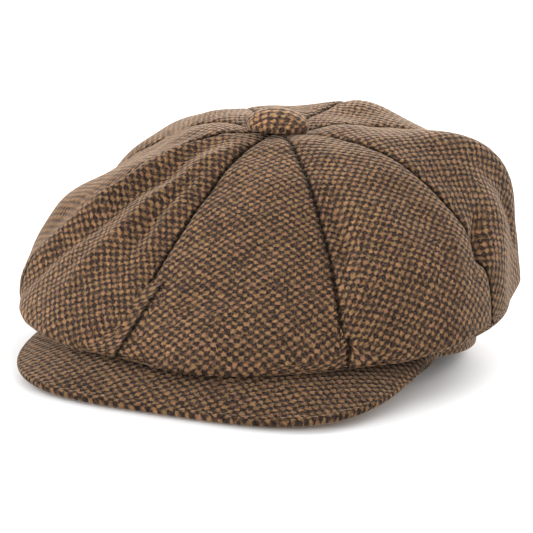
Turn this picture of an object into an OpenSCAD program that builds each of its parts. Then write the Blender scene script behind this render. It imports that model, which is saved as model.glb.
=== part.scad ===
// Newsboy cap: eight-gore crown with a covered button, folded band with an
// elastic back, lining and sweatband, and a stiff cloth-covered visor.
// Millimetres. The visor points to -Y, +Z is up, and the cap lies as it does
// on a table: on the visor's front edge and on the back of the band.

/* [Head opening] */
// half width of the band, middle of its wall, side to side
band_rx = 92; // [80:1:100]
// half length of the band, middle of its wall, front to back
band_ry = 95; // [85:1:105]
// height of the band
band_h = 24; // [16:1:34]
// wall of the band: cloth folded double
band_t = 2.6; // [1.6:0.1:4]
// how high the front of the band stands off the table
front_lift = 16; // [8:1:24]
// half angle of the gathered elastic part at the back
back_half = 62; // [40:1:80]

/* [Crown] */
// height of the crown under the button
crown_top = 103; // [85:1:120]
// mean radius of the fold that the crown droops to
fold_r = 122; // [115:1:140]
// front and back of the fold reach out by this, and the sides come in
fold_oval = 7.5; // [0:1:14]
// mean height of the fold
fold_z = 31; // [24:1:40]
// the fold is this much lower in front and higher at the back
fold_drop = 14; // [6:1:20]
// mean fullness of the crown: 1 is a straight cone, 2 an ellipse, 3 a box
fullness = 2.2; // [1.6:0.05:2.6]
// the back is fuller than the front by twice this
fullness_back = 0.85; // [0:0.05:1]
// how far each gore puffs out between its seams
puff = 3; // [0:0.5:6]
// thickness of the crown cloth with its backing
cloth_t = 1.8; // [1:0.1:3]
// rise of the crown's top behind the button
back_rise = 5; // [0:0.5:8]
// turn of the crown's seams against the visor
crown_turn = 12; // [-15:1:15]
// how far the button sits behind the middle of the head opening
button_back = 5; // [0:1:15]
// how far the soft crown's top has slumped to the wearer's right
crown_lean = 8; // [0:1:15]

/* [Visor] */
// reach of the visor in front of the band
visor_reach = 51; // [40:1:65]
// half width of the visor at its ends
visor_half_w = 88; // [82:1:98]
// squareness of the visor's outline: 2 is an ellipse
visor_square = 3.5; // [2.2:0.1:4.2]
// thickness of the board inside
board_t = 1.8; // [1:0.1:3]
// thickness of each cover
cover_t = 1.5; // [0.8:0.1:2]
// rise of the visor's middle above a straight slope
visor_bulge = 1.5; // [0:0.5:6]

/* [Button] */
// radius of the covered button
button_r = 14; // [10:0.5:16]
// height of the covered button
button_h = 6.5; // [4:0.5:9]

/* [Lining] */
// thickness of the lining
lining_t = 0.8; // [0.5:0.1:1.5]
// radius of the lining's top disc
tip_r = 56; // [45:1:65]
// height of the sweatband
sweat_h = 30; // [22:1:36]

/* [Hidden] */

tweed = [0.46, 0.33, 0.22];
tweed_dark = [0.40, 0.29, 0.20];
satin = [0.12, 0.09, 0.08];
steel = [0.72, 0.72, 0.74];

gores = 8;
gore_angle = 360 / gores;
// clear gap between neighbouring solids of one body
seam_gap = 0.3;
// radius of the hole that the gores' tips leave under the button
tip_hole_r = 6;
// grid of one gore: strips across, steps from button to fold, steps under it
across_n = 8;
top_n = 18;
under_n = 9;

// ---- outline functions; angle 0 is the front and turns towards +X ----

// polar radius of an oval
function oval(rx, ry, a) = 1 / sqrt(pow(sin(a) / rx, 2) + pow(cos(a) / ry, 2));

// point at polar angle a, radius r and height z, about x = 0, y = cy
function at(a, r, z, cy = 0) = [r * sin(a), cy - r * cos(a), z];

// radius of the band's wall, shifted by d
function band_r(a, d = 0) = oval(band_rx + d, band_ry + d, a);

// height of the head opening's edge: a plane from lifted front to table
function rim_z(a) = front_lift * (1 + cos(a)) / 2;

function crown_r(a) = fold_r + fold_oval * cos(2 * a);
function crown_z(a) = fold_z - fold_drop * cos(a);
function crown_n(a) = fullness - fullness_back * cos(a) + 0.1 * sin(a);

// top of a gore: superellipse from the button (s = 0) to the fold (s = 1)
function top_angle(a, s) =
    let (s0 = asin(pow(tip_hole_r / crown_r(a), crown_n(a) / 2)))
    s0 + (90 - s0) * s;
function top_r(a, s) = crown_r(a) * pow(sin(top_angle(a, s)), 2 / crown_n(a));
function top_pt(a, s) =
    let (n = crown_n(a), rr = crown_r(a), zz = crown_z(a), r = top_r(a, s))
    let (rise = back_rise * (1 - cos(a)) / 2 * pow(sin(180 * r / rr), 2))
    let (z = zz + (crown_top - zz) * pow(max(cos(top_angle(a, s)), 0), 2 / n) + rise)
    let (near = 1 - pow(r / rr, 2))
    at(a, r, z, button_back * near) - [crown_lean * near, 0, 0];

// underside of a gore: cubic curve from the fold (s = 0) to the band (s = 1)
under_drop = 9;
under_run = 18;
function bez(p, s) =
    p[0] * pow(1 - s, 3) + p[1] * 3 * s * pow(1 - s, 2)
    + p[2] * 3 * s * s * (1 - s) + p[3] * pow(s, 3);
function under_pt(a, s) =
    let (rr = crown_r(a), zz = crown_z(a))
    let (rb = band_r(a, band_t / 2 - 0.3))
    let (zb = rim_z(a) + band_h + cloth_t)
    at(a, bez([rr, rr, rb + under_run, rb], s),
       bez([zz, zz - under_drop, zb - under_drop, zb], s));

// whole gore: q runs from 0 at the button over 1 at the fold to 2 at the band
function base_pt(a, q) = q <= 1 ? top_pt(a, q) : under_pt(a, q - 1);

step_a = 0.5;
step_q = 0.01;
function unit(v) = v / norm(v);
// outward normal, from two short chords that stay on one side of the fold
function normal_at(a, q) =
    let (q1 = q <= 1 ? max(q - step_q, 0) : max(q - step_q, 1))
    let (q2 = q <= 1 ? min(q + step_q, 1) : min(q + step_q, 2))
    let (da = base_pt(a + step_a, q) - base_pt(a - step_a, q))
    let (dq = base_pt(a, q2) - base_pt(a, q1))
    unit(cross(dq, da));

// 0 at the seams, the button and the band, 1 in the middle of a gore's fold
puff_end = 0.25;
function puff_at(w, q) = sin(180 * w) * (q <= 1 ? sin(90 * q) : max(1 - (q - 1) / puff_end, 0));

// point of gore i at w across (0..1), q along, and depth d under the surface
function gore_pt(i, w, q, d) =
    let (a0 = crown_turn + gore_angle * (i - 0.5))
    let (am = a0 + gore_angle / 2, mid = base_pt(am, q))
    let (r = q <= 1 ? top_r(am, q) : norm([mid[0], mid[1]]))
    let (inset = seam_gap / 2 / r * 180 / PI)
    let (a = a0 + inset + (gore_angle - 2 * inset) * w)
    base_pt(a, q) + normal_at(a, q) * (puff * puff_at(w, q) - d);

// closed skin over a grid of outer points and the matching inner points
module shell_grid(outer, inner) {
    rows = len(outer);
    cols = len(outer[0]);
    count = rows * cols;
    pts = concat([for (r = outer) each r], [for (r = inner) each r]);
    function id(r, c, k) = k * count + r * cols + c;
    faces = concat(
        [for (r = [0 : rows - 2], c = [0 : cols - 2])
            each [[id(r, c, 0), id(r, c + 1, 0), id(r + 1, c + 1, 0)],
                  [id(r, c, 0), id(r + 1, c + 1, 0), id(r + 1, c, 0)],
                  [id(r, c, 1), id(r + 1, c + 1, 1), id(r, c + 1, 1)],
                  [id(r, c, 1), id(r + 1, c, 1), id(r + 1, c + 1, 1)]]],
        [for (r = [0 : rows - 2])
            each [[id(r, 0, 0), id(r + 1, 0, 0), id(r + 1, 0, 1)],
                  [id(r, 0, 0), id(r + 1, 0, 1), id(r, 0, 1)],
                  [id(r, cols - 1, 0), id(r + 1, cols - 1, 1), id(r + 1, cols - 1, 0)],
                  [id(r, cols - 1, 0), id(r, cols - 1, 1), id(r + 1, cols - 1, 1)]]],
        [for (c = [0 : cols - 2])
            each [[id(0, c, 0), id(0, c + 1, 1), id(0, c + 1, 0)],
                  [id(0, c, 0), id(0, c, 1), id(0, c + 1, 1)],
                  [id(rows - 1, c, 0), id(rows - 1, c + 1, 0), id(rows - 1, c + 1, 1)],
                  [id(rows - 1, c, 0), id(rows - 1, c + 1, 1), id(rows - 1, c, 1)]]]);
    polyhedron(pts, faces);
}

module gore(i) {
    qs = concat([for (k = [0 : top_n]) k / top_n], [for (k = [1 : under_n]) 1 + k / under_n]);
    ws = [for (k = [0 : across_n]) k / across_n];
    shell_grid([for (q = qs) [for (w = ws) gore_pt(i, w, q, 0)]],
               [for (q = qs) [for (w = ws) gore_pt(i, w, q, cloth_t)]]);
}

// a closed outline of [radius offset, height offset] swept along the band
module band_sweep(outline, a1, a2, steps, closed = false) {
    n = len(outline);
    ring_count = closed ? steps : steps + 1;
    pts = [for (k = [0 : ring_count - 1])
        let (a = a1 + (a2 - a1) * k / steps)
        each [for (p = outline) at(a, band_r(a) + p[0], rim_z(a) + p[1])]];
    function id(k, j) = (k % ring_count) * n + (j % n);
    sides = [for (k = [0 : steps - 1], j = [0 : n - 1])
        each [[id(k, j), id(k, j + 1), id(k + 1, j + 1)],
              [id(k, j), id(k + 1, j + 1), id(k + 1, j)]]];
    caps = closed ? [] : [[for (j = [n - 1 : -1 : 0]) id(0, j)],
                          [for (j = [0 : n - 1]) id(steps, j)]];
    polyhedron(pts, concat(sides, caps));
}

// rectangle from radius offset r1 to r2 and height offset z1 to z2
function rect(r1, r2, z1, z2) = [[r1, z1], [r2, z1], [r2, z2], [r1, z2]];

// ---- crown ----

module crown_front() color(tweed) gore(0);
module crown_front_left() color(tweed) gore(1);
module crown_left() color(tweed) gore(2);
module crown_back_left() color(tweed) gore(3);
module crown_back() color(tweed) gore(4);
module crown_back_right() color(tweed) gore(5);
module crown_right() color(tweed) gore(6);
module crown_front_right() color(tweed) gore(7);

// ---- band ----

band_end = 180 - back_half;
// angle that the seam gap takes up at the band
gap_angle = seam_gap / band_rx * 180 / PI;
// the casing is gathered, so it stands proud of the band
gather = 1.6;
casing_wall = 1.4;
band_steps = 20;

module half_band(side) {
    outline = rect(-band_t / 2, band_t / 2, 0, band_h);
    a1 = side > 0 ? gap_angle : -band_end + gap_angle;
    a2 = side > 0 ? band_end - gap_angle : -gap_angle;
    band_sweep(outline, a1, a2, band_steps);
}
module band_left() color(tweed_dark) half_band(1);
module band_right() color(tweed_dark) half_band(-1);

// folded strip, open at the top where it is sewn to the crown
module band_back_casing() color(tweed_dark) {
    ro = band_t / 2 + gather;
    ri = -band_t / 2;
    channel = [[ri, 0], [ro, 0], [ro, band_h], [ro - casing_wall, band_h],
               [ro - casing_wall, casing_wall], [ri + casing_wall, casing_wall],
               [ri + casing_wall, band_h], [ri, band_h]];
    band_sweep(channel, band_end, 360 - band_end, band_steps);
}

// woven elastic that lies in the casing
elastic_t = 0.8;
elastic_h = 20;
module band_elastic() color([0.85, 0.83, 0.78]) {
    mid = gather / 2;
    outline = rect(mid - elastic_t / 2, mid + elastic_t / 2,
                   casing_wall + 0.5, casing_wall + 0.5 + elastic_h);
    band_sweep(outline, band_end + 1, 359 - band_end, band_steps);
}

// ---- inside ----

sweat_t = 1.2;
sweat_out = -band_t / 2 - seam_gap;
sweat_lift = 1;

module sweatband() color(satin) {
    outline = rect(sweat_out - sweat_t, sweat_out, sweat_lift, sweat_lift + sweat_h);
    band_sweep(outline, 0, 360, 64, closed = true);
}

// lining: half an ellipse from the sweatband's top up to lining_top
lining_gap = 22;
lining_top = crown_top - lining_gap;
lining_start = 26;
function lining_r(a) = band_r(a, sweat_out - sweat_t - seam_gap);
function lining_pt(a, r, d) =
    let (rl = lining_r(a) - d, z0 = rim_z(a) + lining_start)
    at(a, min(r, rl), z0 + (lining_top - d - z0) * sqrt(max(1 - pow(r / rl, 2), 0)));

module lining_side(side) {
    a1 = side > 0 ? gap_angle : -180 + gap_angle;
    a2 = side > 0 ? 180 - gap_angle : -gap_angle;
    steps_a = 24;
    steps_f = 8;
    angles = [for (k = [0 : steps_a]) a1 + (a2 - a1) * k / steps_a];
    // f turns from the top disc's edge down to the sweatband
    function ring_r(a, k, d) =
        let (rl = lining_r(a) - d, f0 = asin((tip_r + seam_gap) / rl))
        rl * sin(f0 + (90 - f0) * k / steps_f);
    shell_grid([for (k = [0 : steps_f]) [for (a = angles) lining_pt(a, ring_r(a, k, 0), 0)]],
               [for (k = [0 : steps_f])
                   [for (a = angles) lining_pt(a, ring_r(a, k, lining_t), lining_t)]]);
}
module lining_left() color(satin) lining_side(1);
module lining_right() color(satin) lining_side(-1);

module lining_disc() {
    steps_a = 48;
    steps_r = 5;
    rings = [for (k = [1 : steps_r]) tip_r * k / steps_r];
    top = [for (r = rings) each [for (j = [0 : steps_a - 1])
        lining_pt(360 * j / steps_a, r, 0)]];
    low = [for (r = rings) each [for (j = [0 : steps_a - 1])
        lining_pt(360 * j / steps_a, r, lining_t)]];
    n = steps_r * steps_a;
    pts = concat(top, low, [[0, 0, lining_top], [0, 0, lining_top - lining_t]]);
    function id(k, j, s) = s * n + k * steps_a + (j % steps_a);
    bands = [for (k = [0 : steps_r - 2], j = [0 : steps_a - 1])
        each [[id(k, j, 0), id(k, j + 1, 0), id(k + 1, j + 1, 0)],
              [id(k, j, 0), id(k + 1, j + 1, 0), id(k + 1, j, 0)],
              [id(k, j, 1), id(k + 1, j + 1, 1), id(k, j + 1, 1)],
              [id(k, j, 1), id(k + 1, j, 1), id(k + 1, j + 1, 1)]]];
    hubs = [for (j = [0 : steps_a - 1])
        each [[2 * n, id(0, j + 1, 0), id(0, j, 0)],
              [2 * n + 1, id(0, j, 1), id(0, j + 1, 1)]]];
    edge = [for (j = [0 : steps_a - 1])
        each [[id(steps_r - 1, j, 0), id(steps_r - 1, j + 1, 0), id(steps_r - 1, j + 1, 1)],
              [id(steps_r - 1, j, 0), id(steps_r - 1, j + 1, 1), id(steps_r - 1, j, 1)]]];
    polyhedron(pts, concat(bands, hubs, edge));
}
module lining_tip() color(satin) lining_disc();

// small woven label, left plain, sewn to the sweatband at the back
label_half_angle = 11;
label_h = 14;
label_t = 0.5;
module blank_label() color([0.82, 0.80, 0.74]) {
    r2 = sweat_out - sweat_t - seam_gap;
    z1 = sweat_lift + 5;
    band_sweep(rect(r2 - label_t, r2, z1, z1 + label_h),
               180 - label_half_angle, 180 + label_half_angle, 6);
}

// ---- button ----

button_z = crown_top + 1.8;
cover_wrap = 1.3;
shell_t = 0.5;
plate_t = 0.6;

// half section of a dome of radius r and height h
function dome(r, h) = [for (f = [0 : 7.5 : 90]) [r * cos(f), h * sin(f)]];

module on_button() translate([-crown_lean, button_back, button_z]) children();

module button_cover() color(tweed) on_button() rotate_extrude($fn = 64) difference() {
    union() {
        polygon(concat([[0, 0]], dome(button_r, button_h)));
        translate([button_r - 5, -0.8]) square([4.2, 0.8]);
    }
    polygon(concat([[0, 0]], dome(button_r - cover_wrap, button_h - cover_wrap)));
    translate([0, -1]) square([button_r - 4, 1.01]);
}

module button_shell() color(steel) on_button() rotate_extrude($fn = 64) difference() {
    r = button_r - cover_wrap - 0.1;
    h = button_h - cover_wrap - 0.1;
    polygon(concat([[0, 0.1], [r, 0.1]], dome(r, h)));
    polygon(concat([[0, 0], [r - shell_t, 0]], dome(r - shell_t, h - shell_t)));
}

plate_r = button_r - cover_wrap - shell_t - 0.8;
eye_r = 3;
eye_wire_r = 0.6;
module button_plate() color(steel) on_button() translate([0, 0, 0.4]) difference() {
    cylinder(r = plate_r, h = plate_t, $fn = 48);
    translate([0, 0, -1]) cylinder(r = eye_r + eye_wire_r + 0.4, h = plate_t + 2, $fn = 32);
}

module button_eye() color(steel) on_button() translate([0, 0, -1.6])
    rotate([90, 0, 0]) rotate_extrude($fn = 32) translate([eye_r, 0]) circle(eye_wire_r, $fn = 16);

// ---- visor ----

// the visor's inner edge follows the band over this half angle
visor_half_angle = 68;
// clear gap between the visor and the band
visor_gap = 0.8;
visor_front = band_ry + visor_reach + 1;
visor_tip_y = 40;
visor_t = board_t + 2 * cover_t;
// the board ends at these shares of the visor's depth and half width
board_v = 0.94;
board_u = 0.96;
// the covers close over this further share
edge_step = 0.01;
visor_nu = 30;
visor_nv = 5;

// plan of the inner edge; u runs from -1 to 1
function visor_in(u) =
    let (a = u * visor_half_angle, r = band_r(a, band_t / 2 + visor_gap))
    [r * sin(a), -r * cos(a), rim_z(a) + visor_t / 2 + 0.2];

// outer edge: a squarish arc that lies on the table in front
function visor_out(u) =
    let (f = u * 90, c = pow(max(cos(f), 0), 2 / visor_square))
    let (x = visor_half_w * sign(u) * pow(abs(sin(f)), 2 / visor_square))
    [x, -visor_tip_y - (visor_front - visor_tip_y) * c,
     visor_t / 2 + (rim_z(visor_half_angle) + 1) * (1 - c)];

function visor_mid(u, v) =
    visor_in(u) * (1 - v) + visor_out(u) * v + [0, 0, visor_bulge * 4 * v * (1 - v) * cos(60 * u)];

// where the two covers meet at the edge, and where each lies on the board
leaf_gap = 0.1;
function leaf_z(u, v) =
    v > board_v + edge_step / 2 || abs(u) > board_u + edge_step / 2
    ? leaf_gap : board_t / 2 + leaf_gap;

function board_us() = [for (k = [0 : visor_nu]) board_u * (2 * k / visor_nu - 1)];
function cover_us() =
    let (end = board_u + edge_step)
    concat([-1, -end], board_us(), [end, 1]);
function board_vs() = [for (k = [0 : visor_nv]) board_v * k / visor_nv];
function cover_vs() = concat(board_vs(), [board_v + edge_step, 1]);

module board_slab() {
    h = board_t / 2;
    shell_grid([for (v = board_vs()) [for (u = board_us()) visor_mid(u, v) + [0, 0, h]]],
               [for (v = board_vs()) [for (u = board_us()) visor_mid(u, v) - [0, 0, h]]]);
}

// cover above (side = 1) or below (side = -1) the board
module cover_slab(side) {
    outer = [for (v = cover_vs()) [for (u = cover_us())
        visor_mid(u, v) + [0, 0, side * visor_t / 2]]];
    inner = [for (v = cover_vs()) [for (u = cover_us())
        visor_mid(u, v) + [0, 0, side * leaf_z(u, v)]]];
    shell_grid(side > 0 ? outer : inner, side > 0 ? inner : outer);
}

module visor_board() color([0.15, 0.15, 0.16]) board_slab();
module visor_cover_top() color(tweed) cover_slab(1);
module visor_cover_bottom() color(tweed_dark) cover_slab(-1);

// ---- assembly: the origin is the middle of the box's floor ----

crown_back_y = max([for (w = [0 : 0.125 : 1], q = [0.5 : 0.05 : 1.3]) gore_pt(4, w, q, 0)[1]]);
module place() translate([0, (visor_front - crown_back_y) / 2, 0]) children();

place() crown_front();
place() crown_front_left();
place() crown_left();
place() crown_back_left();
place() crown_back();
place() crown_back_right();
place() crown_right();
place() crown_front_right();
place() band_left();
place() band_right();
place() band_back_casing();
place() band_elastic();
place() sweatband();
place() lining_tip();
place() lining_left();
place() lining_right();
place() button_cover();
place() button_shell();
place() button_plate();
place() button_eye();
place() visor_board();
place() visor_cover_top();
place() visor_cover_bottom();
place() blank_label();
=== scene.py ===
"""Newsboy cap: cloth, stitching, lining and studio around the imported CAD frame.

Shapes are worked out in millimetres and degrees about the middle of the head
opening, with the visor towards -Y, and put into the row frame in metres.
Angle 0 is the front of the cap and angles turn towards +X.
"""
import math

import bmesh
import bpy
import numpy as np
from mathutils import Matrix, Vector


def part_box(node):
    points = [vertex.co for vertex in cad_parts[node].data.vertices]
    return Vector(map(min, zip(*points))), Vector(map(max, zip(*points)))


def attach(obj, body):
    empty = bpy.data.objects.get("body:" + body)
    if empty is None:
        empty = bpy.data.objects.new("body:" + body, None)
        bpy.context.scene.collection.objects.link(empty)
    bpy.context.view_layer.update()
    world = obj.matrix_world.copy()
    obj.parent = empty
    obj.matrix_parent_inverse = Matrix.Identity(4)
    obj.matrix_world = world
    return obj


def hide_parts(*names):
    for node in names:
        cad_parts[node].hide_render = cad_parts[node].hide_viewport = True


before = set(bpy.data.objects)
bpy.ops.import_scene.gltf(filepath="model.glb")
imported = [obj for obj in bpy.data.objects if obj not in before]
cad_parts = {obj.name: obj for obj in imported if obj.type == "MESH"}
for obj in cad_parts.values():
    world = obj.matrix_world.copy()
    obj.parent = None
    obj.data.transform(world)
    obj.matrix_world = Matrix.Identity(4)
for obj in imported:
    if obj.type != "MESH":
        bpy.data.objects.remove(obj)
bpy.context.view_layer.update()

MM = 0.001
TAU = 2 * math.pi

# ---- the cap's driving sizes ----

# The soft cap hangs, puffs and leans a little more than the CAD's plain solids:
# its fold drops 15 mm (CAD 14), its button is 30 mm across (CAD 28) and 8.8 mm high.
BAND_RX, BAND_RY, BAND_H, BAND_T = 92.0, 95.0, 24.0, 2.6
FRONT_LIFT = 16.0
BACK_HALF = 62.0
CROWN_TOP, FOLD_R, FOLD_OVAL = 103.0, 122.0, 7.5
FOLD_Z, FOLD_DROP = 31.0, 15.0
FULLNESS, FULLNESS_BACK = 2.2, 0.85
BACK_RISE, PUFF, CLOTH_T = 5.0, 3.0, 1.8
CROWN_TURN, BUTTON_BACK, CROWN_LEAN = 12.0, 5.0, 8.0
UNDER_DROP, UNDER_RUN, PUFF_END = 9.0, 18.0, 0.25
TIP_HOLE_R = 6.0
VISOR_REACH, VISOR_HALF_W, VISOR_SQUARE = 51.0, 88.0, 3.5
VISOR_T, VISOR_BULGE, VISOR_HALF_ANGLE, VISOR_GAP = 4.8, 1.5, 68.0, 0.8
VISOR_TIP_Y, VISOR_CLOTH_T = 40.0, 1.4
BUTTON_R, BUTTON_H = 15.0, 8.8
# the soft crown's fold sags this far towards the wearer's right as well
FOLD_LEAN = 5.0
GORE_ANGLE = 360 / 8

# the head opening's middle lies this far along Y in the row frame, in metres
low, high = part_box("sweatband")
SHIFT_Y = (low[1] + high[1]) / 2


# ---- outline rules ----

def sind(a):
    return np.sin(np.radians(a))


def cosd(a):
    return np.cos(np.radians(a))


def point(a, r, z, cy=0.0):
    return np.stack(np.broadcast_arrays(r * sind(a), cy - r * cosd(a), z), -1)


def band_r(a, d=0.0):
    return 1 / np.sqrt((sind(a) / (BAND_RX + d)) ** 2 + (cosd(a) / (BAND_RY + d)) ** 2)


def rim_z(a):
    return FRONT_LIFT * (1 + cosd(a)) / 2


def crown_r(a):
    return FOLD_R + FOLD_OVAL * cosd(2 * a)


def crown_z(a):
    return FOLD_Z - FOLD_DROP * cosd(a)


def crown_n(a):
    return FULLNESS - FULLNESS_BACK * cosd(a) + 0.1 * sind(a)


def top_point(a, s):
    """Top of the crown from the button (s = 0) to the fold (s = 1)."""
    n, rr, zz = crown_n(a), crown_r(a), crown_z(a)
    s0 = np.degrees(np.arcsin((TIP_HOLE_R / rr) ** (n / 2)))
    f = s0 + (90 - s0) * s
    r = rr * sind(f) ** (2 / n)
    rise = BACK_RISE * (1 - cosd(a)) / 2 * sind(180 * r / rr) ** 2
    z = zz + (CROWN_TOP - zz) * np.maximum(cosd(f), 0) ** (2 / n) + rise
    near = 1 - (r / rr) ** 2
    p = point(a, r, z, BUTTON_BACK * near)
    p[..., 0] -= CROWN_LEAN * near + FOLD_LEAN * (1 - near)
    return p


def bezier(p, s):
    return (p[0] * (1 - s) ** 3 + p[1] * 3 * s * (1 - s) ** 2
            + p[2] * 3 * s * s * (1 - s) + p[3] * s ** 3)


def under_point(a, s):
    """Underside of the crown from the fold (s = 0) to the band (s = 1)."""
    rr, zz = crown_r(a), crown_z(a)
    rb = band_r(a, BAND_T / 2 - 0.3)
    zb = rim_z(a) + BAND_H + CLOTH_T
    p = point(a, bezier((rr, rr, rb + UNDER_RUN, rb), s),
              bezier((zz, zz - UNDER_DROP, zb - UNDER_DROP, zb), s))
    p[..., 0] -= FOLD_LEAN * (1 - s) ** 2 * (1 + 2 * s)
    return p


def base_point(a, q):
    """Crown at angle a; q is 0 at the button, 1 at the fold, 2 at the band."""
    a, q = np.broadcast_arrays(np.asarray(a, float), np.asarray(q, float))
    top = top_point(a, np.clip(q, 0, 1))
    under = under_point(a, np.clip(q - 1, 0, 1))
    return np.where((q <= 1)[..., None], top, under)


def unit(v):
    return v / np.maximum(np.linalg.norm(v, axis=-1, keepdims=True), 1e-9)


def grid_normals(p):
    """Normals of a grid of points, from its own neighbours."""
    return unit(np.cross(np.gradient(p, axis=0), np.gradient(p, axis=1)))


# ---- mesh helpers ----

def to_frame(p):
    """Millimetres about the head opening to metres in the row frame."""
    q = np.asarray(p, float) * MM
    q[..., 1] += SHIFT_Y
    return q


def make_mesh(name, points, faces, uvs):
    """A smooth-shaded mesh object; uvs holds one (u, v) in millimetres per point."""
    mesh = bpy.data.meshes.new(name)
    mesh.from_pydata(to_frame(points).tolist(), [], faces)
    mesh.update()
    mesh.polygons.foreach_set("use_smooth", [True] * len(mesh.polygons))
    obj = bpy.data.objects.new(name, mesh)
    bpy.context.scene.collection.objects.link(obj)
    add_map(obj, "Cloth", np.asarray(uvs) * MM)
    return obj


def add_map(obj, name, values):
    """A UV map from one (u, v) per point."""
    mesh = obj.data
    layer = mesh.uv_layers.new(name=name)
    loops = np.empty(len(mesh.loops), dtype=np.int32)
    mesh.loops.foreach_get("vertex_index", loops)
    layer.data.foreach_set("uv", np.asarray(values)[loops].astype(np.float32).ravel())


def grid_faces(rows, cols, start=0, flip=False, wrap=False):
    """Faces between the points of a grid; `wrap` joins its last column to its first."""
    faces = []
    for r in range(rows - 1):
        for c in range(cols if wrap else cols - 1):
            d = (c + 1) % cols
            f = (start + r * cols + c, start + r * cols + d,
                 start + (r + 1) * cols + d, start + (r + 1) * cols + c)
            faces.append(f[::-1] if flip else f)
    return faces


def shell(name, outer, inner, uv):
    """Closed shell between two grids of the same shape (rows, cols, 3)."""
    rows, cols = outer.shape[:2]
    n = rows * cols
    faces = grid_faces(rows, cols) + grid_faces(rows, cols, n, flip=True)
    border = ([(0, c) for c in range(cols)] + [(r, cols - 1) for r in range(1, rows)]
              + [(rows - 1, c) for c in range(cols - 2, -1, -1)]
              + [(r, 0) for r in range(rows - 2, 0, -1)])
    ids = [r * cols + c for r, c in border]
    for a, b in zip(ids, ids[1:] + ids[:1]):
        faces.append((b, a, a + n, b + n))
    points = np.concatenate([outer.reshape(-1, 3), inner.reshape(-1, 3)])
    uvs = np.concatenate([uv.reshape(-1, 2)] * 2)
    return make_mesh(name, points, faces, uvs)


def loop_sweep(name, rings, uv, closed=False):
    """Closed cross-sections (steps, n, 3) joined along the sweep; ends capped."""
    steps, n = rings.shape[:2]
    faces = []
    last = steps if closed else steps - 1
    for k in range(last):
        for j in range(n):
            a, b = k * n + j, k * n + (j + 1) % n
            c, d = ((k + 1) % steps) * n + (j + 1) % n, ((k + 1) % steps) * n + j
            faces.append((a, b, c, d))
    if not closed:
        faces.append(tuple(range(n - 1, -1, -1)))
        faces.append(tuple((steps - 1) * n + j for j in range(n)))
    return make_mesh(name, rings.reshape(-1, 3), faces, uv.reshape(-1, 2))


def arc_length(p, axis):
    """Running length along one axis of a grid of points, starting at 0."""
    seg = np.linalg.norm(np.diff(p, axis=axis), axis=-1)
    pad = [(0, 0), (0, 0)]
    pad[axis] = (1, 0)
    return np.cumsum(np.pad(seg, pad), axis=axis)


def waves(x, y, size, amount, seed, octaves=3):
    """Smooth seeded bumps: a sum of sine waves in turned directions."""
    r = np.random.default_rng(seed)
    out = np.zeros(np.broadcast(x, y).shape)
    for k in range(octaves):
        for _ in range(4):
            t = r.uniform(0, math.pi)
            w = TAU / (size * r.uniform(0.8, 1.5) / 2 ** k)
            out += (np.sin(w * (x * math.cos(t) + y * math.sin(t)) + r.uniform(0, TAU))
                    / 2 ** k)
    return out * amount / 4


def flip_if_inward(obj):
    """Turns a closed mesh's faces outwards."""
    bm = bmesh.new()
    bm.from_mesh(obj.data)
    if bm.calc_volume(signed=True) < 0:
        bmesh.ops.reverse_faces(bm, faces=bm.faces)
    bm.to_mesh(obj.data)
    bm.free()


def finish_piece(piece, material, body, slot, *nodes):
    """Gives a piece its look and body, in place of the named CAD nodes."""
    flip_if_inward(piece)
    piece.data.materials.append(material)
    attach(piece, body)
    if nodes:
        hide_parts(*nodes)


# ---- crown ----

GORE_NAMES = ("crown_front", "crown_front_left", "crown_left", "crown_back_left",
              "crown_back", "crown_back_right", "crown_right", "crown_front_right")
SEAM_DEPTH, SEAM_WIDTH = 1.4, 1.3
# the cloth's own thickness, and half the gap left between two gores
CLOTH_SHOWN, GORE_GAP = 1.3, 0.04
# how deep and how wide the button pulls the crown down round itself
BUTTON_DIP, BUTTON_DIP_R = 2.6, 22.0

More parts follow.
